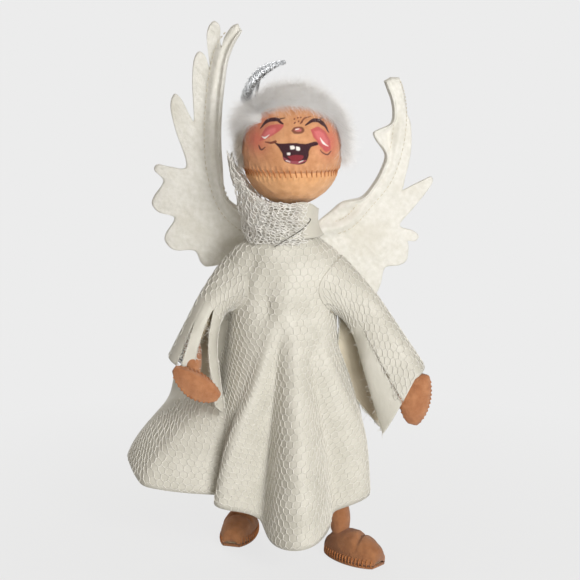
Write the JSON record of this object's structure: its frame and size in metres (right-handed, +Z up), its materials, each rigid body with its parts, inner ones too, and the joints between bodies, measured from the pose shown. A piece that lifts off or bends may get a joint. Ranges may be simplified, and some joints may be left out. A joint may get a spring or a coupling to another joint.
{
  "type": "angel doll",
  "caption": "Felt angel doll on a bendable wire armature, with a laughing face, fleece hair, tinsel halo, felt wings and a satin gown under honeycomb net.",
  "frame": {"origin": "on the floor under the middle of the doll's box", "axes": "+Z up, the doll faces -Y, +X is the doll's left"},
  "size_m": [0.1166, 0.0714, 0.1962],
  "materials": {
    "felt_peach": "matte felt",
    "felt_body": "matte felt",
    "felt_ivory": "matte felt",
    "satin": "pearl sheen",
    "net": "open honeycomb net",
    "fleece": "long fleece",
    "tinsel": "shredded foil",
    "wire": "drawn",
    "card": "plain",
    "thread": "twisted",
    "stuffing": "loose fibre"
  },
  "bodies": {
    "torso": {"torso": "felt_body", "spine_wire": "wire", "gown": "satin", "gown_net": "net", "net_collar": "net", "neck_thread": "thread", "wing_bar": "wire"},
    "neck": {"neck_wire": "wire"},
    "head": {"head_wire": "wire", "head_stuffing": "stuffing", "face_panel": "felt_peach", "chin_gusset": "felt_peach", "head_back": "felt_peach", "hair": "fleece", "halo_socket": "wire"},
    "halo": {"halo": "tinsel", "halo_wire": "wire"},
    "left_arm": {"left_arm": "felt_body", "left_arm_wire": "wire", "left_sleeve": "satin", "left_sleeve_net": "net"},
    "right_arm": {"right_arm": "felt_body", "right_arm_wire": "wire", "right_sleeve": "satin", "right_sleeve_net": "net"},
    "left_hand": {"left_hand": "felt_peach", "left_hand_wire": "wire"},
    "right_hand": {"right_hand": "felt_peach", "right_hand_wire": "wire"},
    "left_leg": {"left_leg": "felt_peach", "left_leg_wire": "wire"},
    "right_leg": {"right_leg": "felt_peach", "right_leg_wire": "wire"},
    "left_foot": {"left_foot": "felt_peach", "left_sole": "felt_peach", "left_insole": "card", "left_foot_wire": "wire"},
    "right_foot": {"right_foot": "felt_peach", "right_sole": "felt_peach", "right_insole": "card", "right_foot_wire": "wire"},
    "left_wing": {"left_wing_front": "felt_ivory", "left_wing_back": "felt_ivory", "left_wing_wire": "wire"},
    "right_wing": {"right_wing_front": "felt_ivory", "right_wing_back": "felt_ivory", "right_wing_wire": "wire"}
  },
  "joints": [
    {"name": "head_turn", "type": "hinge", "parent": "torso", "child": "neck", "pos_m": [0.0054, 0.0011, 0.13], "axis": [0, 0, 1], "range_deg": [-40, 40]},
    {"name": "head_nod", "type": "hinge", "parent": "neck", "child": "head", "pos_m": [0.0054, 0.0011, 0.136], "axis": [1, 0, 0], "range_deg": [-14, 5]},
    {"name": "halo_bend", "type": "hinge", "parent": "head", "child": "halo", "pos_m": [-0.0056, 0.0201, 0.1675], "axis": [-1, 0, 0], "range_deg": [-1, 25]},
    {"name": "left_shoulder", "type": "hinge", "parent": "torso", "child": "left_arm", "pos_m": [0.0249, 0.0001, 0.106], "axis": [0, -1, 0], "range_deg": [0, 40]},
    {"name": "right_shoulder", "type": "hinge", "parent": "torso", "child": "right_arm", "pos_m": [-0.0181, 0.0001, 0.106], "axis": [0, 1, 0], "range_deg": [0, 40]},
    {"name": "left_wrist", "type": "hinge", "parent": "left_arm", "child": "left_hand", "pos_m": [0.0499, -0.0059, 0.069], "axis": [0, 1, 0], "range_deg": [-25, 6]},
    {"name": "right_wrist", "type": "hinge", "parent": "right_arm", "child": "right_hand", "pos_m": [-0.0336, -0.0094, 0.076], "axis": [0, 1, 0], "range_deg": [-20, 20]},
    {"name": "left_hip", "type": "hinge", "parent": "torso", "child": "left_leg", "pos_m": [0.0124, 0.0001, 0.069], "axis": [1, 0, 0], "range_deg": [-2, 6]},
    {"name": "right_hip", "type": "hinge", "parent": "torso", "child": "right_leg", "pos_m": [-0.0056, 0.0001, 0.069], "axis": [1, 0, 0], "range_deg": [-4, 6]},
    {"name": "left_ankle", "type": "hinge", "parent": "left_leg", "child": "left_foot", "pos_m": [0.0239, -0.0089, 0.016], "axis": [0.6691, 0.7431, 0], "range_deg": [-10, 10]},
    {"name": "right_ankle", "type": "hinge", "parent": "right_leg", "child": "right_foot", "pos_m": [-0.0126, 0.0171, 0.016], "axis": [0.9613, -0.2756, 0], "range_deg": [-10, 10]},
    {"name": "left_wing", "type": "hinge", "parent": "torso", "child": "left_wing", "pos_m": [0.0094, 0.0159, 0.116], "axis": [0, 0, 1], "range_deg": [-3, 35]},
    {"name": "right_wing", "type": "hinge", "parent": "torso", "child": "right_wing", "pos_m": [0.0004, 0.0159, 0.116], "axis": [0, 0, -1], "range_deg": [-3, 35]}
  ]
}
